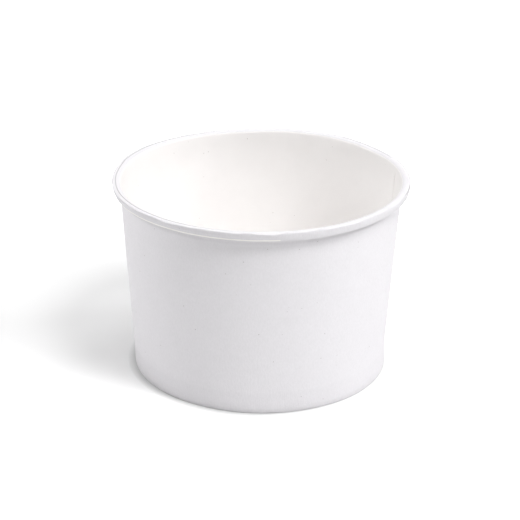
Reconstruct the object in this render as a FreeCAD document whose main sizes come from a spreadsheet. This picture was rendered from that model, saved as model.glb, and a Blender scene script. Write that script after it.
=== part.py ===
import FreeCAD, Part
import Sketcher
import math
import os

# Paper sundae cup, in millimetres, +Z up, with the origin at the centre of its base.
# One wrapped sheet of board makes the wall, the rolled rim and the folded hem, and a
# bottom disc with a turned-down skirt is sealed into that fold.

doc = FreeCAD.newDocument("SundaeCup")

# Driving sizes: millimetres, and degrees where the name says Angle.
drivingSizes = {
    "RimDiameter": 96.0,
    "CupHeight": 63.6,
    "BaseDiameter": 82.7,
    "BandHeight": 7.5,
    "WallBoard": 0.35,
    "BeadDiameter": 3.2,
    "CurlGap": 0.05,
    "CurlEndAngle": 60.0,
    "HemSetback": 0.9,
    "BottomBoard": 0.3,
    "FloorRise": 0.7,
    "BottomCorner": 0.8,
    "SeamAngle": 18.4,
    "SeamOverlap": 7.0,
    "SeamJog": 1.3,
}

sheet = doc.addObject("Spreadsheet::Sheet", "Sizes")
for row, (alias, size) in enumerate(drivingSizes.items(), start=1):
    sheet.set(f"A{row}", alias)
    sheet.set(f"B{row}", str(size))
    sheet.setAlias(f"B{row}", alias)
doc.recompute()

# Places worked out from the driving sizes, as expressions on the sheet.
board = "Sizes.WallBoard"
beadRadius = "Sizes.BeadDiameter / 2"
tuckRadius = "(Sizes.BeadDiameter / 2 - Sizes.WallBoard - Sizes.CurlGap)"
beadX = "(Sizes.RimDiameter - Sizes.BeadDiameter) / 2"
beadZ = "(Sizes.CupHeight - Sizes.BeadDiameter / 2)"
baseX = "Sizes.BaseDiameter / 2"
wallInnerX = "(Sizes.BaseDiameter / 2 - Sizes.WallBoard)"
skirtInnerX = "(Sizes.BaseDiameter / 2 - Sizes.WallBoard - Sizes.BottomBoard)"
hemInnerX = "(Sizes.BaseDiameter / 2 - 2 * Sizes.WallBoard - Sizes.BottomBoard)"
hemTopZ = "(Sizes.BandHeight - Sizes.HemSetback)"
floorZ = "(Sizes.BandHeight + Sizes.FloorRise)"
wallTopX = "(Sizes.RimDiameter / 2 - Sizes.BeadDiameter)"
tuckCentreZ = f"({beadZ} - {beadRadius} + {tuckRadius})"
seamTopZ = f"({tuckCentreZ} - Sizes.WallBoard)"
halfSeam = f"(Sizes.SeamOverlap / {wallTopX} / 2 * 180 / pi)"
seamStart = f"(Sizes.SeamAngle - {halfSeam})"
jogStart = f"({seamStart} - Sizes.SeamJog / {wallTopX} * 180 / pi)"

START, END, CENTRE = 1, 2, 3
AXES = -1


def measure(expression):
    """The number that an expression on the sheet gives."""
    return float(sheet.evalExpression(expression))


def addBody(label):
    body = doc.addObject("PartDesign::Body", label)
    body.Label = label
    return body


def addSketch(body, name, turnedTo=None):
    """A sketch on the body's upright XZ plane, turned about Z by an angle expression."""
    sketch = body.newObject("Sketcher::SketchObject", name)
    upright = [plane for plane in body.Origin.OriginFeatures if plane.Role == "XZ_Plane"]
    sketch.AttachmentSupport = [(upright[0], "")]
    sketch.MapMode = "FlatFace"
    if turnedTo:
        turn = FreeCAD.Rotation(FreeCAD.Vector(0, 1, 0), measure(turnedTo))
        sketch.AttachmentOffset = FreeCAD.Placement(FreeCAD.Vector(0, 0, 0), turn)
        sketch.setExpression("AttachmentOffset.Rotation.Angle", turnedTo)
    return sketch


def addLine(sketch, startX, startZ, endX, endZ):
    start = FreeCAD.Vector(startX, startZ, 0)
    end = FreeCAD.Vector(endX, endZ, 0)
    return sketch.addGeometry(Part.LineSegment(start, end), False)


def addArc(sketch, x, z, radius, startAngle, endAngle):
    """An arc about (x, z), anticlockwise from the one angle to the other, in degrees."""
    circle = Part.Circle(FreeCAD.Vector(x, z, 0), FreeCAD.Vector(0, 0, 1), radius)
    arc = Part.ArcOfCircle(circle, math.radians(startAngle), math.radians(endAngle))
    return sketch.addGeometry(arc, False)


def bind(sketch, constraint, expression):
    index = sketch.addConstraint(constraint)
    sketch.setExpression(f"Constraints[{index}]", expression)


def setX(sketch, geometry, end, expression):
    at = measure(expression)
    bind(sketch, Sketcher.Constraint("DistanceX", AXES, START, geometry, end, at), expression)


def setZ(sketch, geometry, end, expression):
    at = measure(expression)
    bind(sketch, Sketcher.Constraint("DistanceY", AXES, START, geometry, end, at), expression)


def setRadius(sketch, arc, expression):
    bind(sketch, Sketcher.Constraint("Radius", arc, measure(expression)), expression)


def setOffset(sketch, geometry, end, line, expression):
    """How far a point stands off a line."""
    away = measure(expression)
    bind(sketch, Sketcher.Constraint("Distance", geometry, end, line, away), expression)


def join(sketch, first, firstEnd, second, secondEnd, kind="Coincident"):
    sketch.addConstraint(Sketcher.Constraint(kind, first, firstEnd, second, secondEnd))


def revolve(body, name, sketch, angle):
    """Turn a section about Z, from the sketch's own plane towards +Y."""
    feature = body.newObject("PartDesign::Revolution", name)
    feature.Profile = sketch
    feature.ReferenceAxis = (sketch, ["V_Axis"])
    feature.Angle = measure(angle)
    feature.setExpression("Angle", angle)
    doc.recompute()
    return feature


# Section of the wrapped sheet: the folded hem, the straight band round the base, the
# leaning wall, and the curl that rolls over, down and back in against the wall.

def drawSheetSection(sketch):
    thick = measure(board)
    outer, inner, hem = measure(baseX), measure(wallInnerX), measure(hemInnerX)
    band, hemTop = measure("Sizes.BandHeight"), measure(hemTopZ)
    curlX, curlZ = measure(beadX), measure(beadZ)
    bead, tuck = measure(beadRadius), measure(tuckRadius)
    tuckZ = measure(tuckCentreZ)
    tailAngle = 180 - measure("Sizes.CurlEndAngle")
    tailX, tailZ = math.cos(math.radians(tailAngle)), math.sin(math.radians(tailAngle))

    outerBand = addLine(sketch, outer, thick, outer, band)
    outerWall = addLine(sketch, outer, band, curlX - bead + thick, curlZ)
    curlUnder = addArc(sketch, curlX, curlZ, bead - thick, -90, 180)
    tuckUnder = addArc(sketch, curlX, tuckZ, tuck - thick, tailAngle, 270)
    tail = addLine(
        sketch,
        curlX + (tuck - thick) * tailX, tuckZ + (tuck - thick) * tailZ,
        curlX + tuck * tailX, tuckZ + tuck * tailZ,
    )
    tuckFace = addArc(sketch, curlX, tuckZ, tuck, tailAngle, 270)
    curlFace = addArc(sketch, curlX, curlZ, bead, -90, 180)
    innerWall = addLine(sketch, curlX - bead, curlZ, inner, band)
    innerBand = addLine(sketch, inner, band, inner, thick)
    foldFloor = addLine(sketch, inner, thick, hem + thick, thick)
    hemOuter = addLine(sketch, hem + thick, thick, hem + thick, hemTop)
    hemEdge = addLine(sketch, hem + thick, hemTop, hem, hemTop)
    hemInner = addLine(sketch, hem, hemTop, hem, thick)
    hemCorner = addArc(sketch, hem + thick, thick, thick, 180, 270)
    foot = addLine(sketch, hem + thick, 0, inner, 0)
    bandCorner = addArc(sketch, inner, thick, thick, 270, 360)

    # Band, fold and hem
    setX(sketch, outerBand, START, baseX)
    setZ(sketch, outerBand, START, board)
    join(sketch, outerBand, END, outerWall, START)
    setX(sketch, outerWall, START, baseX)
    setZ(sketch, outerWall, START, "Sizes.BandHeight")
    join(sketch, innerWall, END, innerBand, START)
    setX(sketch, innerWall, END, wallInnerX)
    setX(sketch, innerBand, END, wallInnerX)
    setZ(sketch, innerBand, END, board)
    join(sketch, innerBand, END, foldFloor, START)
    join(sketch, foldFloor, END, hemOuter, START)
    setX(sketch, hemOuter, START, f"{hemInnerX} + {board}")
    setZ(sketch, hemOuter, START, board)
    join(sketch, hemOuter, END, hemEdge, START)
    setX(sketch, hemEdge, START, f"{hemInnerX} + {board}")
    setZ(sketch, hemEdge, START, hemTopZ)
    join(sketch, hemEdge, END, hemInner, START)
    setX(sketch, hemInner, START, hemInnerX)
    setZ(sketch, hemInner, START, hemTopZ)
    join(sketch, hemInner, END, hemCorner, START)
    setX(sketch, hemInner, END, hemInnerX)
    setZ(sketch, hemInner, END, board)
    join(sketch, hemCorner, CENTRE, hemOuter, START)
    sketch.addConstraint(Sketcher.Constraint("Vertical", hemCorner, CENTRE, hemCorner, END))
    join(sketch, hemCorner, END, foot, START)
    join(sketch, foot, END, bandCorner, START)
    join(sketch, bandCorner, CENTRE, innerBand, END)
    sketch.addConstraint(Sketcher.Constraint("Vertical", bandCorner, CENTRE, bandCorner, START))
    join(sketch, bandCorner, END, outerBand, START)

    # The curl: the wall runs tangent into it, on both faces of the board
    setX(sketch, curlFace, CENTRE, beadX)
    setZ(sketch, curlFace, CENTRE, beadZ)
    setRadius(sketch, curlFace, beadRadius)
    join(sketch, curlUnder, CENTRE, curlFace, CENTRE)
    setRadius(sketch, curlUnder, f"{beadRadius} - {board}")
    join(sketch, outerWall, END, curlUnder, END, "Tangent")
    join(sketch, innerWall, START, curlFace, END, "Tangent")
    sketch.addConstraint(Sketcher.Constraint("Parallel", outerWall, innerWall))

    # Its tucked end: a tighter arc that goes on from the lowest point of the bead
    sketch.addConstraint(Sketcher.Constraint("Vertical", curlFace, CENTRE, curlFace, START))
    sketch.addConstraint(Sketcher.Constraint("Vertical", curlUnder, CENTRE, curlUnder, START))
    join(sketch, curlFace, START, tuckFace, END, "Tangent")
    setRadius(sketch, tuckFace, tuckRadius)
    join(sketch, tuckUnder, CENTRE, tuckFace, CENTRE)
    join(sketch, tuckUnder, END, curlUnder, START)
    join(sketch, tuckUnder, START, tail, START)
    join(sketch, tail, END, tuckFace, START)
    sketch.addConstraint(Sketcher.Constraint("PointOnObject", tuckFace, CENTRE, tail))
    rise = math.radians(tailAngle)
    bind(
        sketch,
        Sketcher.Constraint("Angle", tail, rise),
        "(180 - Sizes.CurlEndAngle) * 1 deg",
    )


# Section of one ply of the side seam. The ply lies on the wall's outer face, whose line
# is drawn for reference, and it is rooted in the middle of the wall's board.

def drawWallLine(sketch):
    """The wall's outer face, from the top of the band to where the curl begins."""
    curlX, curlZ = measure(beadX), measure(beadZ)
    radius = f"{beadRadius} - {board}"
    wall = addLine(
        sketch, measure(baseX), measure("Sizes.BandHeight"), curlX - measure(radius), curlZ
    )
    curl = addArc(sketch, curlX, curlZ, measure(radius), 90, 180)
    for guide in (wall, curl):
        sketch.toggleConstruction(guide)
    setX(sketch, wall, START, baseX)
    setZ(sketch, wall, START, "Sizes.BandHeight")
    setX(sketch, curl, CENTRE, beadX)
    setZ(sketch, curl, CENTRE, beadZ)
    setRadius(sketch, curl, radius)
    sketch.addConstraint(Sketcher.Constraint("Vertical", curl, CENTRE, curl, START))
    join(sketch, wall, END, curl, END, "Tangent")
    return wall


def drawPlySection(sketch, rise, footed):
    """An outer ply that stands proud of the wall by rise, with or without its foot."""
    wall = drawWallLine(sketch)
    thick, proud = measure(board), measure(rise)
    outer, band, top = measure(baseX), measure("Sizes.BandHeight"), measure(seamTopZ)
    wallTop = sketch.getPoint(wall, END).x

    face = addLine(sketch, outer + proud, thick, outer + proud, band)
    faceWall = addLine(sketch, outer + proud, band, wallTop + proud, top)
    topEdge = addLine(sketch, wallTop + proud, top, wallTop - thick / 2, top)
    rootWall = addLine(sketch, wallTop - thick / 2, top, outer - thick / 2, band)
    rootBand = addLine(sketch, outer - thick / 2, band, outer - thick / 2, thick)
    join(sketch, face, END, faceWall, START)
    join(sketch, faceWall, END, topEdge, START)
    join(sketch, topEdge, END, rootWall, START)
    join(sketch, rootWall, END, rootBand, START)
    setX(sketch, face, START, f"{baseX} + {rise}")
    setZ(sketch, face, START, board)
    setX(sketch, faceWall, START, f"{baseX} + {rise}")
    sketch.addConstraint(Sketcher.Constraint("Parallel", wall, faceWall))
    setOffset(sketch, faceWall, END, wall, rise)
    setZ(sketch, faceWall, END, seamTopZ)
    setZ(sketch, rootWall, START, seamTopZ)
    setOffset(sketch, rootWall, START, wall, f"{board} / 2")
    sketch.addConstraint(Sketcher.Constraint("Parallel", wall, rootWall))
    setX(sketch, rootWall, END, f"{baseX} - {board} / 2")
    setX(sketch, rootBand, END, f"{baseX} - {board} / 2")
    setZ(sketch, rootBand, END, board)

    if not footed:
        close = addLine(sketch, outer - thick / 2, thick, outer + proud, thick)
        join(sketch, rootBand, END, close, START)
        join(sketch, close, END, face, START)
        return
    inner = measure(wallInnerX)
    slant = addLine(sketch, outer - thick / 2, thick, inner, 0)
    foot = addLine(sketch, inner, 0, outer, 0)
    corner = addArc(sketch, outer, thick, thick, 270, 360)
    join(sketch, rootBand, END, slant, START)
    join(sketch, slant, END, foot, START)
    setX(sketch, slant, END, wallInnerX)
    sketch.addConstraint(Sketcher.Constraint("Horizontal", foot))
    join(sketch, foot, END, corner, START)
    setX(sketch, corner, CENTRE, baseX)
    setZ(sketch, corner, CENTRE, board)
    sketch.addConstraint(Sketcher.Constraint("Vertical", corner, CENTRE, corner, START))
    join(sketch, corner, END, face, START)


# Section of the groove inside the seam: it lets the ply's ramp in by depth behind the
# raw edge of the inner ply, and reaches clear of the wall's inner face.

def drawGrooveSection(sketch, depth):
    wall = drawWallLine(sketch)
    clear = "Sizes.WallBoard"
    thick, sunk, free = measure(board), measure(depth), measure(clear)
    low, high = measure(floorZ), measure(seamTopZ)
    lowX = sketch.getPoint(wall, START).x - thick
    highX = sketch.getPoint(wall, END).x - thick

    behind = addLine(sketch, lowX + sunk, low, highX + sunk, high)
    topEdge = addLine(sketch, highX + sunk, high, highX - free, high)
    front = addLine(sketch, highX - free, high, lowX - free, low)
    lowEdge = addLine(sketch, lowX - free, low, lowX + sunk, low)
    join(sketch, behind, END, topEdge, START)
    join(sketch, topEdge, END, front, START)
    join(sketch, front, END, lowEdge, START)
    join(sketch, lowEdge, END, behind, START)
    for geometry, end, height in (
        (behind, START, floorZ), (behind, END, seamTopZ),
        (front, START, seamTopZ), (front, END, floorZ),
    ):
        setZ(sketch, geometry, end, height)
    sketch.addConstraint(Sketcher.Constraint("Parallel", wall, behind))
    sketch.addConstraint(Sketcher.Constraint("Parallel", wall, front))
    setOffset(sketch, front, START, wall, f"{board} + {clear}")
    setOffset(sketch, behind, START, wall, f"{board} - {depth}")


def makeSidewall():
    body = addBody("sidewall")

    sheetSection = addSketch(body, "SheetSection")
    drawSheetSection(sheetSection)
    revolve(body, "WrappedSheet", sheetSection, "360")

    # The outer ply of the overlap, from its step over the inner ply to its raw edge
    plySection = addSketch(body, "PlySection", seamStart)
    drawPlySection(plySection, board, footed=True)
    revolve(body, "SeamPly", plySection, f"2 * {halfSeam}")

    # The ramp by which the outer ply comes down to the wall, a tapering wedge
    rampHigh = addSketch(body, "RampHigh", seamStart)
    drawPlySection(rampHigh, board, footed=False)
    rampLow = addSketch(body, "RampLow", jogStart)
    drawPlySection(rampLow, "0", footed=False)
    ramp = body.newObject("PartDesign::AdditiveLoft", "SeamRamp")
    ramp.Profile = rampHigh
    ramp.Sections = [rampLow]
    ramp.Ruled = True
    doc.recompute()

    # The matching groove inside, at the raw edge of the inner ply
    grooveDeep = addSketch(body, "GrooveDeep", seamStart)
    drawGrooveSection(grooveDeep, board)
    grooveShallow = addSketch(body, "GrooveShallow", jogStart)
    drawGrooveSection(grooveShallow, "0")
    groove = body.newObject("PartDesign::SubtractiveLoft", "SeamGroove")
    groove.Profile = grooveDeep
    groove.Sections = [grooveShallow]
    groove.Ruled = True
    doc.recompute()
    return body


# Section of the bottom: the skirt stands on the fold's floor between the band and the
# hem, and turns over a small radius into the flat floor of the cup.

def drawBottomSection(sketch):
    outer, inner = measure(wallInnerX), measure(skirtInnerX)
    floor, thick = measure(floorZ), measure("Sizes.BottomBoard")
    turn, low = measure("Sizes.BottomCorner"), measure(board)

    skirtOuter = addLine(sketch, outer, low, outer, floor - turn)
    cornerOuter = addArc(sketch, outer - turn, floor - turn, turn, 0, 90)
    top = addLine(sketch, outer - turn, floor, 0, floor)
    axis = addLine(sketch, 0, floor, 0, floor - thick)
    under = addLine(sketch, 0, floor - thick, outer - turn, floor - thick)
    cornerInner = addArc(sketch, outer - turn, floor - turn, turn - thick, 0, 90)
    skirtInner = addLine(sketch, inner, floor - turn, inner, low)
    skirtEdge = addLine(sketch, inner, low, outer, low)

    setX(sketch, skirtOuter, START, wallInnerX)
    setZ(sketch, skirtOuter, START, board)
    sketch.addConstraint(Sketcher.Constraint("Vertical", skirtOuter))
    join(sketch, skirtOuter, END, cornerOuter, START, "Tangent")
    setRadius(sketch, cornerOuter, "Sizes.BottomCorner")
    join(sketch, cornerOuter, END, top, START, "Tangent")
    sketch.addConstraint(Sketcher.Constraint("Horizontal", top))
    join(sketch, top, END, axis, START)
    setX(sketch, axis, START, "0")
    setZ(sketch, axis, START, floorZ)
    sketch.addConstraint(Sketcher.Constraint("Vertical", axis))
    join(sketch, axis, END, under, START)
    setZ(sketch, under, START, f"{floorZ} - Sizes.BottomBoard")
    sketch.addConstraint(Sketcher.Constraint("Horizontal", under))
    join(sketch, cornerInner, CENTRE, cornerOuter, CENTRE)
    join(sketch, under, END, cornerInner, END, "Tangent")
    join(sketch, cornerInner, START, skirtInner, START, "Tangent")
    sketch.addConstraint(Sketcher.Constraint("Vertical", skirtInner))
    join(sketch, skirtInner, END, skirtEdge, START)
    setZ(sketch, skirtEdge, START, board)
    join(sketch, skirtEdge, END, skirtOuter, START)


def makeBottomDisc():
    body = addBody("bottom_disc")
    section = addSketch(body, "BottomSection")
    drawBottomSection(section)
    revolve(body, "DrawnBottom", section, "360")
    return body


subParts = [makeSidewall(), makeBottomDisc()]
doc.recompute()

for item in doc.Objects:
    if "Invalid" in item.State or "Error" in item.State:
        raise RuntimeError(f"{item.Label} failed: {item.State}")
for part in subParts:
    if part.Shape.isNull() or not part.Shape.isValid() or len(part.Shape.Solids) != 1:
        raise RuntimeError(f"{part.Label} has no valid single solid")

os.makedirs("parts", exist_ok=True)
for part in subParts:
    part.Shape.exportStep(f"parts/{part.Label}.step")
    box = part.Shape.BoundBox
    print(
        f"{part.Label}: {part.Shape.Volume:.1f} mm3, X {box.XMin:.2f} to {box.XMax:.2f},"
        f" Y {box.YMin:.2f} to {box.YMax:.2f}, Z {box.ZMin:.2f} to {box.ZMax:.2f}"
    )
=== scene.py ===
import math

import bpy
from mathutils import Matrix, Vector


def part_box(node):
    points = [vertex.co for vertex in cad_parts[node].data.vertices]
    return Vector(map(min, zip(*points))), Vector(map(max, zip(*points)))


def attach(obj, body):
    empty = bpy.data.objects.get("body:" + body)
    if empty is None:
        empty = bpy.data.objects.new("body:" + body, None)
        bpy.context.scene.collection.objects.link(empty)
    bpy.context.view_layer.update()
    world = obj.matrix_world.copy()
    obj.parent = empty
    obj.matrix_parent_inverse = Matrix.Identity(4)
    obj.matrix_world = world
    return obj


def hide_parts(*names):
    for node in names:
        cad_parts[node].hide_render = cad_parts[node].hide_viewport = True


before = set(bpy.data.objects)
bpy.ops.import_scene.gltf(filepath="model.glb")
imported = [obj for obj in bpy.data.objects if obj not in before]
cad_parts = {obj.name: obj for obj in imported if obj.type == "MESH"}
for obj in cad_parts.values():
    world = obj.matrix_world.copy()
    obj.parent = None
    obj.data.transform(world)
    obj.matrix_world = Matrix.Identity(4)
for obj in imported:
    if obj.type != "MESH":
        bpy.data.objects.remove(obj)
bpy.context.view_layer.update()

# White paper sundae cup on a white table: metres, +Z up, the mouth at the top.
# Two pieces of cup board, both turned about Z from a section of the board: the wrapped
# sidewall with its rolled rim and folded foot, and the drawn bottom disc.

mm = 0.001
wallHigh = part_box("sidewall")[1]
discLow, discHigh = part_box("bottom_disc")
rimRadius = wallHigh.x
cupHeight = wallHigh.z
board = discLow.z                       # the disc's skirt stands on one thickness of board
discRadius = discHigh.x
floorHeight = discHigh.z
baseRadius = discRadius + board
print("frame: rim", round(rimRadius * 2 / mm, 2), "mm, height", round(cupHeight / mm, 2), "mm")


def toLinear(hexColour):
    channels = [int(hexColour[i:i + 2], 16) / 255 for i in (1, 3, 5)]
    return (*[c / 12.92 if c <= 0.04045 else ((c + 0.055) / 1.055) ** 2.4 for c in channels], 1.0)


# Adds a node with its settings, and links or sets its inputs, by order or by name
def addNode(tree, kind, inputs=(), **settings):
    node = tree.nodes.new(kind)
    for name, value in settings.items():
        setattr(node, name, value)
    pairs = inputs.items() if isinstance(inputs, dict) else enumerate(inputs)
    for key, value in pairs:
        if isinstance(value, bpy.types.Node):
            value = value.outputs[0]
        if isinstance(value, bpy.types.NodeSocket):
            tree.links.new(value, node.inputs[key])
        else:
            node.inputs[key].default_value = value
    return node


def linkObject(name, data):
    made = bpy.data.objects.new(name, data)
    bpy.context.scene.collection.objects.link(made)
    return made


# Camera, fitted to the outlines of the rim and the base in the photograph

view = {
    "back": 537.9 * mm,
    "height": 267.5 * mm,
    "pitch": 23.43,             # degrees below the horizon
    "roll": 0.4,
    "lens": 124.6,
    "sensor": 36,
    "clip": (0.01, 20),
}


def addCamera(view):
    data = bpy.data.cameras.new("photoCamera")
    data.sensor_width = view["sensor"]
    data.lens = view["lens"]
    data.clip_start, data.clip_end = view["clip"]
    camera = linkObject("photoCamera", data)
    tip = Matrix.Rotation(math.radians(90 - view["pitch"]), 4, "X")
    roll = Matrix.Rotation(math.radians(view["roll"]), 4, "Z")
    camera.matrix_world = Matrix.Translation((0, -view["back"], view["height"])) @ tip @ roll
    bpy.context.scene.camera = camera


addCamera(view)
bpy.context.scene.view_settings.view_transform = "Standard"
print("camera set")


# Materials: cup board is bleached chemical pulp, pressed smooth. Its outer face is left
# bare and its inner face carries a thin polyethylene film.

paper = {
    "bareWhite": "#F1EFF2",
    "filmWhite": "#F8F6F5",
    "beadWhite": "#E9E7EA",
    # The cut edge's white is brighter than the board's faces: a painted highlight
    "cutEdgeHighlightWhite": "#FFFDF9",
    "fleck": "#8F8880",         # bark specks left in the pulp
    "fleckCell": 3.6 * mm,      # one speck to a cell of this size
    "fleckSize": 0.17 * mm,
    "fleckStrength": 0.8,
    "grain": 0.45 * mm,         # felt marks, real ones are about 0.3 mm: drawn coarser to show
    "stretch": 0.45,            # the grain runs up the wall
    "wear": 0.05,               # how far the roughness goes up and down with the grain
    "cloud": 6 * mm,            # uneven formation of the sheet
    "cloudShade": 0.015,
    # Painted shade on the fold round the base: its colour is darkened below these heights
    "paintedFoldShadeTop": (6.6 * mm, 7.8 * mm),    # the fold's darker shade ends between these heights
    # Heights and shares of the painted shade under the rim
    "paintedUnderRimShade": ((54.5 * mm, 58.5 * mm, 0.6), (58.2 * mm, 59.4 * mm, 4.5)),
    # How far painted shade darkens the crease along the bead
    "paintedCreaseShade": 0.4,
}
noiseLow, noiseHigh = 0.3, 0.7  # nearly all of a noise texture lies between these


def addBoardMaterial(name, colour, roughness, specular, grainDepth, grainShade, paintedShade=0.0):
    material = bpy.data.materials.new(name)
    material.use_nodes = True
    tree = material.node_tree
    tree.nodes.clear()
    place = addNode(tree, "ShaderNodeTexCoord").outputs["Object"]

    cloud = addNode(tree, "ShaderNodeTexNoise", {
        "Vector": place, "Scale": 1 / paper["cloud"], "Detail": 4.0, "Roughness": 0.6,
    })
    shade = addNode(tree, "ShaderNodeMapRange", {
        "Value": cloud, "From Min": noiseLow, "From Max": noiseHigh,
        "To Min": 1 - paper["cloudShade"], "To Max": 1.0,
    })
    upright = addNode(tree, "ShaderNodeMapping", {
        "Vector": place, "Scale": (1, 1, paper["stretch"]),
    })
    grain = addNode(tree, "ShaderNodeTexNoise", {
        "Vector": upright, "Scale": 1 / paper["grain"], "Detail": 3.0, "Roughness": 0.6,
    })
    fibres = addNode(tree, "ShaderNodeMapRange", {
        "Value": grain, "From Min": noiseLow, "From Max": noiseHigh,
        "To Min": 1 - grainShade, "To Max": 1.0,
    })
    shade = addNode(tree, "ShaderNodeMath", (shade, fibres), operation="MULTIPLY")
    # Painted shade: the doubled fold round the base is drawn a shade darker in colour
    height = addNode(tree, "ShaderNodeSeparateXYZ", (place,)).outputs["Z"]
    low, high = paper["paintedFoldShadeTop"]
    foldPaintedShade = addNode(tree, "ShaderNodeMapRange", {
        "Value": height, "From Min": low, "From Max": high, "To Min": 1 - paintedShade, "To Max": 1.0,
    }, interpolation_type="SMOOTHSTEP")
    shade = addNode(tree, "ShaderNodeMath", (shade, foldPaintedShade), operation="MULTIPLY")
    # Painted shade under the rim: the colour darkens right under the bead and less so below it
    for low, high, share in paper["paintedUnderRimShade"]:
        underRimPaintedShade = addNode(tree, "ShaderNodeMapRange", {
            "Value": height, "From Min": low, "From Max": high,
            "To Min": 1.0, "To Max": 1 - paintedShade * share,
        }, interpolation_type="SMOOTHSTEP")
        shade = addNode(tree, "ShaderNodeMath", (shade, underRimPaintedShade), operation="MULTIPLY")
    # Painted shade: the crease along the bead's top is drawn darker
    crestNotchAndShade = addNode(tree, "ShaderNodeAttribute", attribute_name="crestNotchAndShade").outputs["Fac"]
    creasePaintedShade = addNode(tree, "ShaderNodeMath", (crestNotchAndShade, -paper["paintedCreaseShade"], 1.0), operation="MULTIPLY_ADD")
    shade = addNode(tree, "ShaderNodeMath", (shade, creasePaintedShade), operation="MULTIPLY")
    tint = addNode(tree, "ShaderNodeMix", {0: shade, 6: (0, 0, 0, 1), 7: toLinear(colour)}, data_type="RGBA")

    seeds = addNode(tree, "ShaderNodeTexVoronoi", {"Vector": place, "Scale": 1 / paper["fleckCell"]})
    reach = paper["fleckSize"] / paper["fleckCell"]
    fleck = addNode(tree, "ShaderNodeMapRange", {
        "Value": seeds.outputs["Distance"],
        "From Min": reach * 0.4, "From Max": reach, "To Min": paper["fleckStrength"], "To Max": 0.0,
    }, interpolation_type="SMOOTHSTEP")
    dotted = addNode(tree, "ShaderNodeMix", {
        0: fleck, 6: tint.outputs[2], 7: toLinear(paper["fleck"]),
    }, data_type="RGBA")

    relief = addNode(tree, "ShaderNodeBump", {
        "Strength": 1.0, "Distance": grainDepth, "Height": grain,
    })
    worn = addNode(tree, "ShaderNodeMapRange", {
        "Value": grain, "From Min": noiseLow, "From Max": noiseHigh,
        "To Min": roughness - paper["wear"], "To Max": roughness + paper["wear"],
    })
    shader = addNode(tree, "ShaderNodeBsdfPrincipled", {
        "Base Color": dotted.outputs[2], "Roughness": worn, "IOR": 1.5, "Normal": relief,
        "Specular IOR Level": specular,
    })
    addNode(tree, "ShaderNodeOutputMaterial", (shader,))
    return material


# Bare board: fibres on show, so it is matte with a fine grain and cool in the shade
# The bare board carries the painted shade of the base fold and of the wall under the rim
bareBoard = addBoardMaterial("bareCupBoard", paper["bareWhite"], roughness=0.85, specular=0.3,
                             grainDepth=0.09 * mm, grainShade=0.045, paintedShade=0.022)
# Film on board: the fibres are sealed in, so it is smoother, a little warmer, with a satin sheen
filmBoard = addBoardMaterial("filmCoatedCupBoard", paper["filmWhite"], roughness=0.55, specular=0.25,
                             grainDepth=0.012 * mm, grainShade=0.006)
# Film drawn over the bead: stretched thin, so it is as cool as the bare side and mottled
beadBoard = addBoardMaterial("stretchedCupBoard", paper["beadWhite"], roughness=0.8, specular=0.15,
                             grainDepth=0.09 * mm, grainShade=0.055)
# Cut edge: the middle ply shows, cream and dull, and drawn brighter than the board's faces as a painted
# highlight, which also gives the strip along the curl's lower edge its light line
cutEdgeHighlightBoard = addBoardMaterial("cutEdgeWithPaintedHighlight", paper["cutEdgeHighlightWhite"], roughness=0.9, specular=0.3,
                            grainDepth=0.02 * mm, grainShade=0.02)
print("materials made")


# Section drawing: runs of points along the faces of the board, each point with the shares
# that the turning tree reads. A run leaves out its last point, which begins the next run.

boardFaces = {"film": 0, "bare": 1, "cut": 2, "bead": 3}
shareNames = (
    "face", "ply", "groove", "follow", "foot", "bead", "roll", "lip", "under", "crest", "raw",
    "pleat", "sag",
)


def drawLine(start, end, count):
    return [
        (start[0] + (end[0] - start[0]) * i / count, start[1] + (end[1] - start[1]) * i / count)
        for i in range(count)
    ]


def drawArc(centre, radius, start, end, count):
    angles = [math.radians(start + (end - start) * i / count) for i in range(count)]
    return [(centre[0] + radius * math.cos(a), centre[1] + radius * math.sin(a)) for a in angles]


def addRun(section, points, face, **shares):
    for radius, height in points:
        row = dict.fromkeys(shareNames, 0.0)
        row["face"] = float(boardFaces[face])
        for name, share in shares.items():
            row[name] = share(radius, height) if callable(share) else share
        section.append((radius, height, row))


# The fold round the base and the disc's skirt in it move in or out together, most at the foot
foldDepth = 1.5 * mm
footFade = 1.6


def markFoot(section, band):
    for radius, height, row in section:
        if radius > discRadius - foldDepth and height < band:
            row["foot"] = (1 - height / band) ** footFade


def makeSectionMesh(name, section, closed):
    edges = [(i, i + 1) for i in range(len(section) - 1)]
    if closed:
        edges.append((len(section) - 1, 0))
    mesh = bpy.data.meshes.new(name)
    mesh.from_pydata([(radius, 0, height) for radius, height, row in section], edges, [])
    for share in shareNames:
        values = mesh.attributes.new(share, "FLOAT", "POINT")
        values.data.foreach_set("value", [row[share] for radius, height, row in section])
    return mesh


# Sidewall

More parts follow.
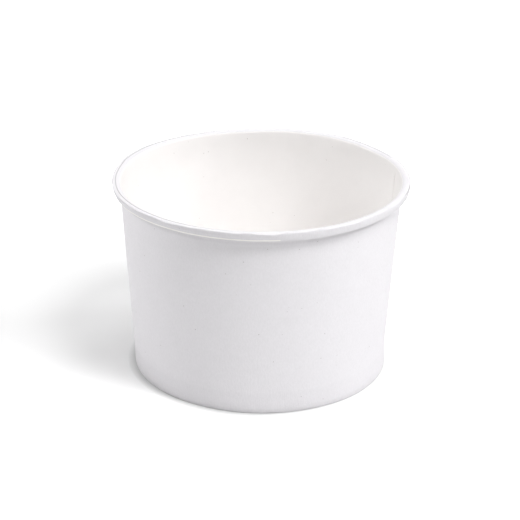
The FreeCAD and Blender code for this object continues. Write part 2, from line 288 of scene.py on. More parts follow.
sidewall = {
    "bead": 3.2 * mm,
    "band": 7.5 * mm,           # upright band round the folded base
    "curlGap": 0.05 * mm,
    "curlEnd": 120,             # where the tucked edge of the board stops, degrees
    "hemSetback": 0.9 * mm,
    "seamMiddle": 18.4,
    "seamOverlap": 7.0 * mm,
    "seamJog": 1.3 * mm,        # where the outer ply climbs over the inner one's edge
    "stations": 640,
    "edgeRow": 0.3 * mm,        # close rows keep the band's edge crisp
    "seamFade": 0.5 * mm,       # the seam's step ends this far below the curl
    "beadPly": 0.6,             # how much of that step shows through the bead
    "hemPly": 0.7,              # and in the hem, where the plies are pressed thinner
    "jogRise": 0.2,             # inside, the film lifts by this part of a board before the seam
    "seamSink": 0.15,           # and lies this much lower over it
    "rimPull": 1.5,             # how quickly the wall gives up following the rim
    "wallWaver": 0.15 * mm,
    "waverSize": 30 * mm,
    "crinkle": 0.09 * mm,       # small dents in the bead
    "crinkleSize": 4 * mm,
    "crinkleBias": 0.62,        # above a half, so that most of them go in
    # The raw edge strip below the bead takes the cut edge's colour, brighter than the bead: a painted
    # highlight
    "lowerLip": (-58, -42),     # the curl's raw edge shows between these angles of the bead
    "lipFrom": 150,             # and between these degrees from +X
    "lipTo": 277,
    "lipRidge": 0.08 * mm,      # it stands a little proud and catches the light
    "underFade": 48,            # the turn under the bead ends here
    "lipInset": 0.5 * mm,       # the small folds in the lip start this far inside the bead's middle
    "lipDepth": 3 * mm,         # and this far below it
    "lipBlend": (0.7 * mm, 2.5 * mm),    # sideways and upwards
    "innerCrease": 152,         # where the bead's top folds down into the wall
    "creaseNotch": 0.09 * mm,
    "crest": (85, 97),          # a crease runs along the top of the bead
    "brow": (35, 47),           # or further out, at the seam
    "crestDepth": 0.05 * mm,
    "ridgeRange": (28, 58),     # the ridge between the two flats wanders in these degrees
    "ridgeSize": 8 * mm,
    "frontFlat": 0.4 * mm,      # how far the bead's front and top are pressed flat
    "topFlat": 0.3 * mm,
}


def drawSidewall(cup):
    beadRadius = cup["bead"] / 2
    tuckRadius = beadRadius - board - cup["curlGap"]
    curl = (rimRadius - beadRadius, cupHeight - beadRadius)
    tuck = (curl[0], curl[1] - beadRadius + tuckRadius)
    hem = discRadius - bottomDisc["board"] - board
    hemTop = cup["band"] - cup["hemSetback"]
    seamTop = tuck[1] - board

    # The wall's outer face runs tangent to the inside of the curl
    away = Vector(curl) - Vector((baseRadius, cup["band"]))
    lean = math.atan2(away.y, away.x) + math.asin((beadRadius - board) / away.length)
    length = math.sqrt(away.length ** 2 - (beadRadius - board) ** 2)
    wallTop = (baseRadius + length * math.cos(lean), cup["band"] + length * math.sin(lean))
    meet = math.degrees(lean) + 90
    innerTop = drawArc(curl, beadRadius, meet, meet, 1)[0]
    drop = (innerTop[0] - discRadius) * math.tan(lean)
    innerLow = (discRadius, innerTop[1] - drop)

    def followRim(radius, height):
        return max(0.0, (height - cup["band"]) / (cupHeight - cup["band"])) ** cup["rimPull"]

    def underRim(radius, height):
        return min(1.0, max(0.0, (seamTop - height) / cup["seamFade"]))

    # The angle round the bead from its outermost point, with no jump on the inner side
    def rollAngle(radius, height):
        turned = math.atan2(height - curl[1], radius - curl[0])
        return turned + 2 * math.pi if turned < -0.6 * math.pi else turned

    def lipShare(radius, height):
        inward = curl[0] - cup["lipInset"] - radius
        above = height - curl[1] + cup["lipDepth"]
        blendIn, blendUp = cup["lipBlend"]
        return max(0.0, min(1.0, inward / blendIn, above / blendUp))

    def beadPly(radius, height):
        return cup["beadPly"] * min(1.0, max(0.0, (radius - curl[0] + beadRadius) / beadRadius))

    lipLow, lipHigh = cup["lowerLip"]
    fade = cup["underFade"]
    crease = cup["innerCrease"]

    def underShare(radius, height):
        roll = math.degrees(rollAngle(radius, height))
        return max(0.0, min((roll + 90) / (lipLow + 90), (fade - roll) / (fade - lipLow)))

    crestLow, crestHigh = cup["crest"]
    browLow, browHigh = cup["brow"]
    slack = 1

    # One in the rows of the crease on top, and minus one in those of the crease further out
    def crestShare(radius, height):
        roll = math.degrees(rollAngle(radius, height))
        onTop = crestLow - slack < roll < crestHigh + slack
        furtherOut = browLow - slack < roll < browHigh + slack
        return float(onTop) - float(furtherOut)

    section = []
    addRun(section, [(hem + board, hemTop)], "cut")
    addRun(section, drawLine((hem, hemTop), (hem, board), 5), "bare", ply=-cup["hemPly"])
    addRun(section, drawArc((hem + board, board), board, 180, 270, 4), "bare",
           ply=lambda radius, height: -cup["hemPly"] * (hem + board - radius) / board)
    addRun(section, drawLine((hem + board, 0), (discRadius, 0), 1), "bare")
    addRun(section, drawArc((discRadius, board), board, 270, 360, 4), "bare", ply=1.0)
    near = cup["edgeRow"]
    wallFoot = (baseRadius + near * math.cos(lean), cup["band"] + near * math.sin(lean))
    addRun(section, drawLine((baseRadius, board), (baseRadius, cup["band"] - near), 5), "bare", ply=1.0)
    addRun(section, [(baseRadius, cup["band"] - near), (baseRadius, cup["band"])], "bare", ply=1.0)
    addRun(section, drawLine(wallFoot, wallTop, 18), "bare",
           ply=underRim, follow=followRim)
    addRun(section, drawArc(curl, beadRadius - board, meet, -90, 20), "bare",
           follow=1.0, ply=beadPly, bead=1.0, roll=rollAngle, under=underShare)
    addRun(section, drawArc(tuck, tuckRadius - board, -90, cup["curlEnd"] - 360, 5), "bare",
           follow=1.0, ply=beadPly)
    addRun(section, drawArc(tuck, tuckRadius - board, cup["curlEnd"], 0, 1), "cut",
           follow=1.0, ply=beadPly)
    addRun(section, drawArc(tuck, tuckRadius, cup["curlEnd"] - 360, -90, 9), "film",
           follow=1.0, ply=beadPly)
    step = 4                    # degrees from one form on the bead to the next
    turns = (
        (beadRadius, -90, lipLow, 4, "bead"),
        # The curl's raw edge strip: the cut edge's colour, with its painted highlight
        (beadRadius, lipLow, lipLow + step, 1, "cut"),
        (beadRadius + cup["lipRidge"], lipLow + step, lipHigh - step, 2, "cut"),
        (beadRadius, lipHigh, browLow - step, 10, "bead"),
        (beadRadius, browLow - step, browHigh + step, 5, "bead"),
        (beadRadius, browHigh + step, crestLow - step, 5, "bead"),
        (beadRadius, crestLow - step, crestHigh + step, 5, "bead"),
        (beadRadius, crestHigh + step, crease - step, 8, "bead"),
        (beadRadius, crease - step, crease, 1, "film"),
        (beadRadius - cup["creaseNotch"], crease, crease + step, 1, "film"),
        (beadRadius, crease + step, meet, 3, "film"),
    )
    for reach, start, end, count, face in turns:
        addRun(section, drawArc(curl, reach, start, end, count), face,
               follow=1.0, ply=beadPly, bead=1.0, roll=rollAngle, lip=lipShare, under=underShare,
               crest=crestShare, raw=float(face == "cut"))
    addRun(section, drawLine(innerTop, innerLow, 22), "film",
           groove=underRim, follow=followRim, lip=lipShare)
    addRun(section, drawLine(innerLow, (discRadius, board), 2), "film")
    addRun(section, [(discRadius, board), (hem + board, board)], "film")
    markFoot(section, cup["band"])
    return section


# Bottom disc

bottomDisc = {
    "board": 0.3 * mm,
    "corner": 0.8 * mm,
    "sag": 0.15 * mm,           # the middle hangs a little low
    "pleats": 132,              # wrinkles where the flat blank is drawn into a skirt
    "pleatDepth": 0.05 * mm,
    "pleatReach": 2.2 * mm,     # how far they run in over the floor
    "pleatFade": 2.5 * mm,
    "pleatSize": 3 * mm,
    "pleatShift": 5.0,          # how far they are out of step, radians
    "fineRows": 3 * mm,         # close rows carry the pleats over this much of the floor's edge
    "stations": 792,
}


def drawDisc(disc):
    thick = disc["board"]
    turn = (discRadius - disc["corner"], floorHeight - disc["corner"])

    def sagShare(radius, height):
        return -(1 - (radius / turn[0]) ** 2)

    def pleatShare(radius, height):
        return min(1.0, max(0.0, (radius - turn[0] + disc["pleatReach"]) / disc["pleatFade"]))

    fine = turn[0] - disc["fineRows"]
    section = []
    addRun(section, drawLine((0, floorHeight - thick), (turn[0], floorHeight - thick), 14), "bare",
           sag=sagShare)
    addRun(section, drawArc(turn, disc["corner"] - thick, 90, 0, 5), "bare")
    addRun(section, drawLine((discRadius - thick, turn[1]), (discRadius - thick, board), 3), "bare")
    addRun(section, [(discRadius - thick, board)], "cut")
    addRun(section, drawLine((discRadius, board), (discRadius, turn[1]), 4), "film")
    addRun(section, drawArc(turn, disc["corner"], 0, 90, 7), "film", pleat=pleatShare)
    addRun(section, drawLine((turn[0], floorHeight), (fine, floorHeight), 6), "film",
           sag=sagShare, pleat=pleatShare)
    addRun(section, drawLine((fine, floorHeight), (0, floorHeight), 14), "film", sag=sagShare)
    addRun(section, [(0, floorHeight)], "film", sag=-1.0)
    markFoot(section, sidewall["band"])
    return section


# The turning tree: sweeps a section round Z in stations, lays one ply over the other at the
# seam, lets the sheet waver, and dents the bead.

treeInputs = {
    "Section": "NodeSocketGeometry",
    "Closed": "NodeSocketInt",
    "Stations": "NodeSocketInt",
    "Board": "NodeSocketFloat",
    "Jog Start": "NodeSocketFloat",
    "Seam Start": "NodeSocketFloat",
    "Seam End": "NodeSocketFloat",
    "Wall Waver": "NodeSocketFloat",
    "Crinkle": "NodeSocketFloat",
    "Front Flat": "NodeSocketFloat",
    "Top Flat": "NodeSocketFloat",
    "Crest Depth": "NodeSocketFloat",
    "Lip Start": "NodeSocketFloat",
    "Lip End": "NodeSocketFloat",
    "Sag": "NodeSocketFloat",
    "Pleats": "NodeSocketFloat",
    "Pleat Depth": "NodeSocketFloat",
    "Film Face": "NodeSocketMaterial",
    "Bead Face": "NodeSocketMaterial",
    "Bare Face": "NodeSocketMaterial",
    "Cut Edge": "NodeSocketMaterial",
}

# How far the rim stands out of round and out of level in mm, by degrees from +X: real rims waver
rimOut = {0: 0.3, 24: 0.45, 40: 0.35, 65: 0.8, 95: 0.1, 140: 0.45, 160: 0.35, 175: -0.15, 200: 0.0,
          270: 0.2, 330: 0.0, 345: 0.1, 360: 0.3}
rimLift = {0: 0.0, 35: 0.1, 50: 0.24, 75: 0.23, 95: -0.05, 120: -0.1, 140: 0.1, 160: 0.13, 180: -0.05,
           230: 0.15, 270: 0.22, 320: 0.2, 345: 0.05, 360: 0.0}
# How far the bead's lower edge is turned under, mm
rimUnder = {0: 0.0, 20: 0.0, 150: -0.25, 180: -0.55, 210: -0.65, 240: -0.45, 270: -0.2, 300: 0.0, 360: 0.0}
# Where the crease along the bead's top is sharp, or below zero the one further out: there the bead is
# notched and darkened with painted shade
rimCrest = {0: -0.5, 12: -0.45, 22: 0.0, 30: 0.3, 45: 0.35, 60: 0.0, 100: 0.0, 120: 0.25, 150: 0.4,
            190: 0.4, 205: 0.5, 235: 0.5, 250: 0.25, 264: 0.1, 276: 0.0, 335: 0.0, 345: -0.4, 360: -0.5}
# How far the foot stands out of round, mm
footOut = {0: 0.0, 60: -0.1, 180: -0.25, 230: -0.5, 260: -0.15, 300: 0.1, 330: 0.3, 345: 0.2, 360: 0.0}
# Small folds in the lip where the curl begins, mm
rimLip = {0: 0.0, 30: 0.0, 32: -0.2, 43: -0.15, 46: 0.05, 48: -0.3, 52: -0.3, 54: 0.0, 66: 0.0, 69: -0.1,
          72: 0.0, 108: 0.0, 111: -0.1, 116: 0.0, 190: 0.0, 196: -0.08, 200: 0.0, 360: 0.0}


# A curve node works between 0 and 1, so a half stands for nothing
def setCurve(node, table):
    curve = node.mapping.curves[0]
    for degrees, size in table.items():
        at = (degrees / 360, size + 0.5)
        if degrees in (0, 360):
            curve.points[0 if degrees == 0 else -1].location = at
        else:
            curve.points.new(*at)
    for point in curve.points:
        point.handle_type = "AUTO_CLAMPED"
    node.mapping.update()


edgeNudge = 0.0003              # radians between a raw edge and the station on each side of it
same = 0.1                      # whole numbers nearer than this are equal
mergeDistance = 0.001 * mm


def buildTurningTree():
    tree = bpy.data.node_groups.new("turnBoard", "GeometryNodeTree")
    for name, kind in treeInputs.items():
        tree.interface.new_socket(name, in_out="INPUT", socket_type=kind)
    tree.interface.new_socket("Board Mesh", in_out="OUTPUT", socket_type="NodeSocketGeometry")
    given = addNode(tree, "NodeGroupInput").outputs

    # Rows of the sheet run along the section, and its columns are the stations
    size = addNode(tree, "GeometryNodeAttributeDomainSize", (given["Section"],), component="MESH")
    points = size.outputs["Point Count"]
    rows = addNode(tree, "ShaderNodeMath", (points, given["Closed"]), operation="ADD")
    columns = addNode(tree, "ShaderNodeMath", (given["Stations"], 1.0), operation="ADD")
    sheet = addNode(tree, "GeometryNodeMeshGrid", {
        "Size X": 1.0, "Size Y": 1.0, "Vertices X": columns, "Vertices Y": rows,
    })
    index = addNode(tree, "GeometryNodeInputIndex")
    across = addNode(tree, "ShaderNodeMath", (index, rows), operation="DIVIDE")
    station = addNode(tree, "ShaderNodeMath", (across,), operation="FLOOR")
    row = addNode(tree, "ShaderNodeMath", (index, rows), operation="FLOORED_MODULO")
    point = addNode(tree, "ShaderNodeMath", (row, points), operation="FLOORED_MODULO")
    spans = addNode(tree, "ShaderNodeMath", (rows, 1.0), operation="SUBTRACT")
    faceAcross = addNode(tree, "ShaderNodeMath", (index, spans), operation="DIVIDE")
    faceStation = addNode(tree, "ShaderNodeMath", (faceAcross,), operation="FLOOR")
    faceRow = addNode(tree, "ShaderNodeMath", (index, spans), operation="FLOORED_MODULO")

    # What the section says at this point
    place = addNode(tree, "GeometryNodeInputPosition")
    drawn = addNode(tree, "GeometryNodeSampleIndex", {
        "Geometry": given["Section"], "Value": place, "Index": point,
    }, data_type="FLOAT_VECTOR")
    drawn = addNode(tree, "ShaderNodeSeparateXYZ", (drawn,))
    shares = {}
    for name in shareNames:
        stored = addNode(tree, "GeometryNodeInputNamedAttribute", {"Name": name}, data_type="FLOAT")
        shares[name] = addNode(tree, "GeometryNodeSampleIndex", {
            "Geometry": given["Section"], "Value": stored,
            "Index": faceRow if name in ("face", "raw") else point,
        }, data_type="FLOAT")

    # Even stations, but a pair of them closes on each raw edge of the seam to make it crisp
    step = addNode(tree, "ShaderNodeMath", (2 * math.pi, given["Stations"]), operation="DIVIDE")
    angle = addNode(tree, "ShaderNodeMath", (station, step), operation="MULTIPLY")
    for edge in ("Seam Start", "Seam End"):
        steps = addNode(tree, "ShaderNodeMath", (given[edge], step), operation="DIVIDE")
        nearest = addNode(tree, "ShaderNodeMath", (steps,), operation="ROUND")
        past = addNode(tree, "ShaderNodeMath", (station, nearest), operation="SUBTRACT")
        for count, nudge in ((0, -edgeNudge), (1, edgeNudge)):
            atEdge = addNode(tree, "ShaderNodeMath", (past, count, same), operation="COMPARE")
            atEdge = addNode(tree, "ShaderNodeMath", (atEdge, given["Closed"]), operation="MULTIPLY")
            edgeAngle = addNode(tree, "ShaderNodeMath", (given[edge], nudge), operation="ADD")
            angle = addNode(tree, "ShaderNodeMix", {0: atEdge, 2: angle, 3: edgeAngle})
    # Only the outer ply's raw edge is bare: the film seals the inner one
    cut = addNode(tree, "ShaderNodeMath", (faceStation, nearest, same), operation="COMPARE")
    seamed = addNode(tree, "ShaderNodeMath", (cut, given["Closed"]), operation="MULTIPLY")
    face = addNode(tree, "ShaderNodeMix", {0: seamed, 2: shares["face"], 3: boardFaces["cut"]})
    # The curl's raw edge is in sight for part of the way round, and tucked in for the rest
    faceAngle = addNode(tree, "ShaderNodeMath", (faceStation, step), operation="MULTIPLY")
    early = addNode(tree, "ShaderNodeMath", (faceAngle, given["Lip Start"]), operation="LESS_THAN")
    late = addNode(tree, "ShaderNodeMath", (faceAngle, given["Lip End"]), operation="GREATER_THAN")
    hidden = addNode(tree, "ShaderNodeMath", (early, late), operation="ADD")
    hidden = addNode(tree, "ShaderNodeMath", (hidden, shares["raw"]), operation="MULTIPLY")
    face = addNode(tree, "ShaderNodeMix", {0: hidden, 2: face, 3: boardFaces["bead"]})
    cosine = addNode(tree, "ShaderNodeMath", (angle,), operation="COSINE")
    sine = addNode(tree, "ShaderNodeMath", (angle,), operation="SINE")

    # The outer ply climbs one board between the jog and the inner ply's edge
    climb = addNode(tree, "ShaderNodeMapRange", {
        "Value": angle, "From Min": given["Jog Start"], "From Max": given["Seam Start"],
        "To Min": 0.0, "To Max": given["Board"],
    }, interpolation_type="SMOOTHSTEP")
    lapped = addNode(tree, "ShaderNodeMath", (angle, given["Seam End"]), operation="LESS_THAN")
    proud = addNode(tree, "ShaderNodeMath", (climb, lapped), operation="MULTIPLY")
    plied = addNode(tree, "ShaderNodeMath", (proud, shares["ply"]), operation="MULTIPLY")
    before = addNode(tree, "ShaderNodeMath", (angle, given["Seam Start"]), operation="LESS_THAN")
    rise, sink = sidewall["jogRise"], sidewall["seamSink"]
    sunk = addNode(tree, "ShaderNodeMath", (before, rise + sink, -sink), operation="MULTIPLY_ADD")
    sunk = addNode(tree, "ShaderNodeMath", (proud, sunk), operation="MULTIPLY")
    grooved = addNode(tree, "ShaderNodeMath", (sunk, shares["groove"]), operation="MULTIPLY")

    # The rim is a little out of round and the wall goes with it
    turned = addNode(tree, "ShaderNodeMath", (angle, 2 * math.pi), operation="DIVIDE")
    out = addNode(tree, "ShaderNodeFloatCurve", {"Value": turned})
    setCurve(out, rimOut)
    lift = addNode(tree, "ShaderNodeFloatCurve", {"Value": turned})
    setCurve(lift, rimLift)
    lip = addNode(tree, "ShaderNodeFloatCurve", {"Value": turned})
    setCurve(lip, rimLip)
    foot = addNode(tree, "ShaderNodeFloatCurve", {"Value": turned})
    setCurve(foot, footOut)
    under = addNode(tree, "ShaderNodeFloatCurve", {"Value": turned})
    setCurve(under, rimUnder)
    crested = addNode(tree, "ShaderNodeFloatCurve", {"Value": turned})
    setCurve(crested, rimCrest)
    crested = addNode(tree, "ShaderNodeMath", (crested, 2.0, -1.0), operation="MULTIPLY_ADD")
    crestNotchAndShade = addNode(tree, "ShaderNodeMath", (crested, shares["crest"]), operation="MULTIPLY")
    crestNotchAndShade = addNode(tree, "ShaderNodeMath", (crestNotchAndShade, 0.0), operation="MAXIMUM")
    moves = []
    for curve, share in ((out, "follow"), (lift, "follow"), (lip, "lip"), (foot, "foot"), (under, "under")):
        centred = addNode(tree, "ShaderNodeMath", (curve, 0.5), operation="SUBTRACT")
        metres = addNode(tree, "ShaderNodeMath", (centred, mm), operation="MULTIPLY")
        moves.append(addNode(tree, "ShaderNodeMath", (metres, shares[share]), operation="MULTIPLY"))

    # Slow waver of the wall, and small dents in the bead
    x = addNode(tree, "ShaderNodeMath", (drawn.outputs["X"], cosine), operation="MULTIPLY")
    y = addNode(tree, "ShaderNodeMath", (drawn.outputs["X"], sine), operation="MULTIPLY")
    even = addNode(tree, "ShaderNodeCombineXYZ", (x, y, drawn.outputs["Z"]))
    slow = addNode(tree, "ShaderNodeTexNoise", {
        "Vector": even, "Scale": 1 / sidewall["waverSize"], "Detail": 1.0,
    })
    slow = addNode(tree, "ShaderNodeMath", (slow, 0.5), operation="SUBTRACT")
    wavered = addNode(tree, "ShaderNodeMath", (slow, given["Wall Waver"]), operation="MULTIPLY")
    wavered = addNode(tree, "ShaderNodeMath", (wavered, shares["follow"]), operation="MULTIPLY")
    dents = addNode(tree, "ShaderNodeTexNoise", {
        "Vector": even, "Scale": 1 / sidewall["crinkleSize"], "Detail": 2.0,
    })
    dents = addNode(tree, "ShaderNodeMath", (dents, sidewall["crinkleBias"]), operation="SUBTRACT")
    dented = addNode(tree, "ShaderNodeMath", (dents, given["Crinkle"]), operation="MULTIPLY")

    # The bead has two flats, one on top and one in front, and the ridge between them wanders
    wander = addNode(tree, "ShaderNodeTexNoise", {
        "Vector": even, "Scale": 1 / sidewall["ridgeSize"], "Detail": 2.0,
    })
    ridgeLow, ridgeHigh = sidewall["ridgeRange"]
    ridge = addNode(tree, "ShaderNodeMapRange", {
        "Value": wander, "From Min": noiseLow, "From Max": noiseHigh,
        "To Min": math.radians(ridgeLow), "To Max": math.radians(ridgeHigh),
    })
    pressed = dented
    lowest, highest = math.radians(sidewall["lowerLip"][0]), math.radians(sidewall["innerCrease"])
    flats = ((lowest, ridge, "Front Flat"), (ridge, highest, "Top Flat"))
    for low, high, depth in flats:
        across = addNode(tree, "ShaderNodeMapRange", {
            "Value": shares["roll"], "From Min": low, "From Max": high,
        })
        back = addNode(tree, "ShaderNodeMath", (1.0, across), operation="SUBTRACT")
        hollow = addNode(tree, "ShaderNodeMath", (across, back), operation="MULTIPLY")
        # A quarter at its middle, so four times that gives the flat its whole depth
        hollow = addNode(tree, "ShaderNodeMath", (hollow, -4.0), operation="MULTIPLY")
        pressed = addNode(tree, "ShaderNodeMath", (hollow, given[depth], pressed), operation="MULTIPLY_ADD")
    pressed = addNode(tree, "ShaderNodeMath", (pressed, shares["bead"]), operation="MULTIPLY")
    notch = addNode(tree, "ShaderNodeMath", (crestNotchAndShade, given["Crest Depth"]), operation="MULTIPLY")
    pressed = addNode(tree, "ShaderNodeMath", (pressed, notch), operation="SUBTRACT")
    rollCosine = addNode(tree, "ShaderNodeMath", (shares["roll"],), operation="COSINE")
    rollSine = addNode(tree, "ShaderNodeMath", (shares["roll"],), operation="SINE")
    beadOut = addNode(tree, "ShaderNodeMath", (pressed, rollCosine), operation="MULTIPLY")
    beadUp = addNode(tree, "ShaderNodeMath", (pressed, rollSine), operation="MULTIPLY")

    # Pleats round the corner of the disc, uneven in depth
    wave = addNode(tree, "ShaderNodeMath", (angle, given["Pleats"]), operation="MULTIPLY")
    uneven = addNode(tree, "ShaderNodeTexNoise", {
        "Vector": even, "Scale": 1 / bottomDisc["pleatSize"], "Detail": 1.0,
    })
    shift = bottomDisc["pleatShift"]
    wave = addNode(tree, "ShaderNodeMath", (uneven, shift, wave), operation="MULTIPLY_ADD")
    wave = addNode(tree, "ShaderNodeMath", (wave,), operation="COSINE")
    wave = addNode(tree, "ShaderNodeMath", (wave, -1.0), operation="ADD")
    wave = addNode(tree, "ShaderNodeMath", (wave, given["Pleat Depth"]), operation="MULTIPLY")
    wave = addNode(tree, "ShaderNodeMath", (wave, shares["pleat"]), operation="MULTIPLY")
    wave = addNode(tree, "ShaderNodeMath", (wave, 0.5), operation="MULTIPLY")
    sagged = addNode(tree, "ShaderNodeMath", (shares["sag"], given["Sag"]), operation="MULTIPLY")

    radius = drawn.outputs["X"]
    outMove, liftMove, lipMove, footMove, underMove = moves
    for move in (plied, grooved, outMove, lipMove, footMove, underMove, wavered, beadOut, wave):
        radius = addNode(tree, "ShaderNodeMath", (radius, move), operation="ADD")
    height = drawn.outputs["Z"]
    for move in (liftMove, beadUp, wave, sagged):
        height = addNode(tree, "ShaderNodeMath", (height, move), operation="ADD")
    x = addNode(tree, "ShaderNodeMath", (radius, cosine), operation="MULTIPLY")
    y = addNode(tree, "ShaderNodeMath", (radius, sine), operation="MULTIPLY")
    bent = addNode(tree, "ShaderNodeCombineXYZ", (x, y, height))

    # Mark each face of the board before the ends are closed, because that drops empty faces
    marked = addNode(tree, "GeometryNodeStoreNamedAttribute", {
        "Geometry": sheet, "Name": "boardFace", "Value": face,
    }, data_type="FLOAT", domain="FACE")
    # The crease mask carries both the notch and the painted shade of the crease
    marked = addNode(tree, "GeometryNodeStoreNamedAttribute", {
        "Geometry": marked, "Name": "crestNotchAndShade", "Value": crestNotchAndShade,
    }, data_type="FLOAT", domain="POINT")
    shaped = addNode(tree, "GeometryNodeSetPosition", {"Geometry": marked, "Position": bent})
    closed = addNode(tree, "GeometryNodeMergeByDistance", {
        "Geometry": shaped, "Distance": mergeDistance,
    })
    made = addNode(tree, "GeometryNodeRealizeInstances", {"Geometry": closed})
    mark = addNode(tree, "GeometryNodeInputNamedAttribute", {"Name": "boardFace"}, data_type="FLOAT")
    finishes = (("film", "Film Face"), ("bead", "Bead Face"), ("bare", "Bare Face"), ("cut", "Cut Edge"))
    for kind, socket in finishes:
        chosen = addNode(tree, "ShaderNodeMath", (mark, boardFaces[kind], same), operation="COMPARE")
        made = addNode(tree, "GeometryNodeSetMaterial", {
            "Geometry": made, "Selection": chosen, "Material": given[socket],
        })
    addNode(tree, "NodeGroupOutput", (made,))
    return tree


turningTree = buildTurningTree()
sharpAngle = 38                 # degrees


# Turns a section into a finished mesh object
def turnBoard(name, section, closed, sizes):
    source = linkObject(name + "Section", makeSectionMesh(name + "Section", section, closed))
    modifier = source.modifiers.new("turnBoard", "NODES")
    modifier.node_group = turningTree
    sizes = {
        "Closed": int(closed), "Board": board,
        "Film Face": filmBoard, "Bead Face": beadBoard, "Bare Face": bareBoard, "Cut Edge": cutEdgeHighlightBoard,
        **sizes,
    }
    identifiers = {item.name: item.identifier for item in turningTree.interface.items_tree}
    for socket, value in sizes.items():
        modifier[identifiers[socket]] = value
    source.update_tag()
    bpy.context.view_layer.update()
    graph = bpy.context.evaluated_depsgraph_get()
    mesh = bpy.data.meshes.new_from_object(source.evaluated_get(graph))
    source.modifiers.remove(modifier)
    bpy.data.objects.remove(source)
    mesh.attributes.remove(mesh.attributes["boardFace"])
    for slot in reversed(range(len(mesh.materials))):
        if mesh.materials[slot] is None:
            mesh.materials.pop(index=slot)
    mesh.shade_smooth()
    mesh.set_sharp_from_angle(angle=math.radians(sharpAngle))
    mesh.name = name
    return linkObject(name, mesh)


wallTopRadius = rimRadius - sidewall["bead"]
seamHalf = sidewall["seamOverlap"] / wallTopRadius / 2
seamStart = math.radians(sidewall["seamMiddle"]) - seamHalf
wall = turnBoard("cup_sidewall", drawSidewall(sidewall), True, {
    "Stations": sidewall["stations"],
    "Jog Start": seamStart - sidewall["seamJog"] / wallTopRadius,
    "Seam Start": seamStart,
    "Seam End": seamStart + 2 * seamHalf,
    "Wall Waver": sidewall["wallWaver"],
    "Crinkle": sidewall["crinkle"],
    "Front Flat": sidewall["frontFlat"],
    "Top Flat": sidewall["topFlat"],
    "Crest Depth": sidewall["crestDepth"],
    "Lip Start": math.radians(sidewall["lipFrom"]),
    "Lip End": math.radians(sidewall["lipTo"]),
})
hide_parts("sidewall")
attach(wall, "root")
print("sidewall turned,", len(wall.data.polygons), "faces")

disc = turnBoard("cup_bottom_disc", drawDisc(bottomDisc), False, {
    "Stations": bottomDisc["stations"],
    "Sag": bottomDisc["sag"],
    "Pleats": float(bottomDisc["pleats"]),
    "Pleat Depth": bottomDisc["pleatDepth"],
})
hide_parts("bottom_disc")
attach(disc, "root")
print("bottom disc turned,", len(disc.data.polygons), "faces")


# Table and light

studio = {
    "tableSize": 3.0,
    "tableWhite": "#F0F0F0",
    "skyLight": 0.0,            # the world is white to look at, and lights nothing
    "tableGlow": 0.15,          # a whitened table past the shadow, for the camera alone
    "glowCentre": (-40 * mm, 20 * mm, 0),
    "glowFrom": 65 * mm,
    "glowTo": 125 * mm,
    # Painted contact shadow: the table's colour is darkened right beside the foot
    "paintedContactShadow": 0.4,        # the table is dull right beside the foot
    "contactWidth": 2.5 * mm,
    "lampDistance": 1.2,
}
lamps = {
    "rightFrontLamp": {"turn": -35, "rise": 45, "width": 0.35, "power": 4.9},
    "highFrontLamp": {"turn": -50, "rise": 60, "width": 0.35, "power": 5.1},
    "rightLamp": {"turn": 10, "rise": 32, "width": 0.35, "power": 3.1},
    "rightBackLamp": {"turn": 50, "rise": 60, "width": 0.35, "power": 1.7},
    "leftLamp": {"turn": 165, "rise": 25, "width": 0.7, "power": 5.5},
    "highLeftLamp": {"turn": 200, "rise": 50, "width": 0.7, "power": 1.6},
    "frontLamp": {"turn": -105, "rise": 20, "width": 0.35, "power": 0.9},
    "topLamp": {"turn": 0, "rise": 90, "width": 0.7, "power": 3.4},
}


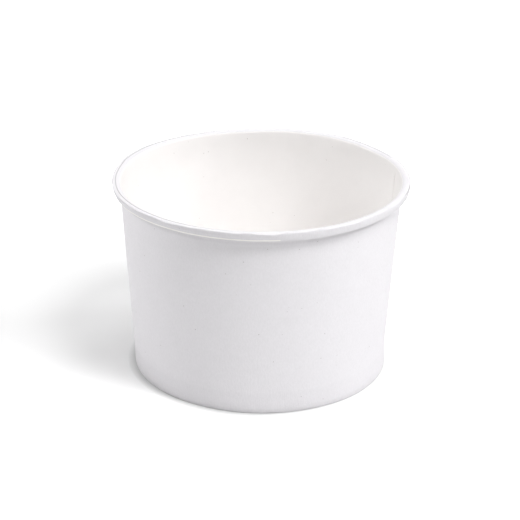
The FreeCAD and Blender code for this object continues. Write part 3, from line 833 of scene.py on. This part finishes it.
def addTable():
    half = studio["tableSize"] / 2
    mesh = bpy.data.meshes.new("table")
    corners = [(-half, -half, 0), (half, -half, 0), (half, half, 0), (-half, half, 0)]
    mesh.from_pydata(corners, [], [(0, 1, 2, 3)])
    table = linkObject("table", mesh)
    # Matte white card. Away from the cup and its shadow the camera sees it as blank white.
    material = bpy.data.materials.new("whiteTable")
    material.use_nodes = True
    tree = material.node_tree
    tree.nodes.clear()
    place = addNode(tree, "ShaderNodeTexCoord").outputs["Object"]
    away = addNode(tree, "ShaderNodeVectorMath", (place, studio["glowCentre"]), operation="DISTANCE")
    fade = addNode(tree, "ShaderNodeMapRange", {
        "Value": away.outputs["Value"], "To Min": studio["tableGlow"],
        "From Min": studio["glowFrom"], "From Max": studio["glowTo"],
    }, interpolation_type="SMOOTHSTEP")
    ray = addNode(tree, "ShaderNodeLightPath").outputs
    seen = addNode(tree, "ShaderNodeMath", (ray["Is Camera Ray"], ray["Is Glossy Ray"]), operation="MAXIMUM")
    glow = addNode(tree, "ShaderNodeMath", (fade, seen), operation="MULTIPLY")
    lit = addNode(tree, "ShaderNodeEmission", {"Strength": glow})
    along = addNode(tree, "ShaderNodeVectorMath", (place,), operation="LENGTH")
    # Painted contact shadow: the table's colour darkens towards the foot
    contactShadowFactor = addNode(tree, "ShaderNodeMapRange", {
        "Value": along.outputs["Value"],
        "From Min": baseRadius, "From Max": baseRadius + studio["contactWidth"],
        "To Min": 1 - studio["paintedContactShadow"], "To Max": 1.0,
    })
    shaded = addNode(tree, "ShaderNodeMix", {
        0: contactShadowFactor, 6: (0, 0, 0, 1), 7: toLinear(studio["tableWhite"]),
    }, data_type="RGBA")
    matte = addNode(tree, "ShaderNodeBsdfDiffuse", {"Color": shaded.outputs[2]})
    both = addNode(tree, "ShaderNodeAddShader", (matte, lit))
    addNode(tree, "ShaderNodeOutputMaterial", (both,))
    mesh.materials.append(material)


def addWorld():
    world = bpy.data.worlds.new("whiteStudio")
    bpy.context.scene.world = world
    world.use_nodes = True
    tree = world.node_tree
    tree.nodes.clear()
    ray = addNode(tree, "ShaderNodeLightPath").outputs
    seen = addNode(tree, "ShaderNodeMath", (ray["Is Camera Ray"], ray["Is Glossy Ray"]), operation="MAXIMUM")
    seen = addNode(tree, "ShaderNodeMath", (seen, ray["Is Transmission Ray"]), operation="MAXIMUM")
    level = addNode(tree, "ShaderNodeMapRange", {"Value": seen, "To Min": studio["skyLight"], "To Max": 1.0})
    sky = addNode(tree, "ShaderNodeBackground", {"Color": (1, 1, 1, 1), "Strength": level})
    addNode(tree, "ShaderNodeOutputWorld", (sky,))


# A round softbox, placed by its turn from +X towards +Y and its rise above the table
def addLamp(name, lamp):
    data = bpy.data.lights.new(name, "AREA")
    data.shape = "DISK"
    data.size = lamp["width"]
    data.energy = lamp["power"]
    made = linkObject(name, data)
    turn, rise = math.radians(lamp["turn"]), math.radians(lamp["rise"])
    towards = Vector((math.cos(turn) * math.cos(rise), math.sin(turn) * math.cos(rise), math.sin(rise)))
    made.location = towards * studio["lampDistance"] + Vector((0, 0, cupHeight / 2))
    made.rotation_euler = (-towards).to_track_quat("-Z", "Y").to_euler()


addTable()
addWorld()
for name, lamp in lamps.items():
    addLamp(name, lamp)
print("table and lamps set")
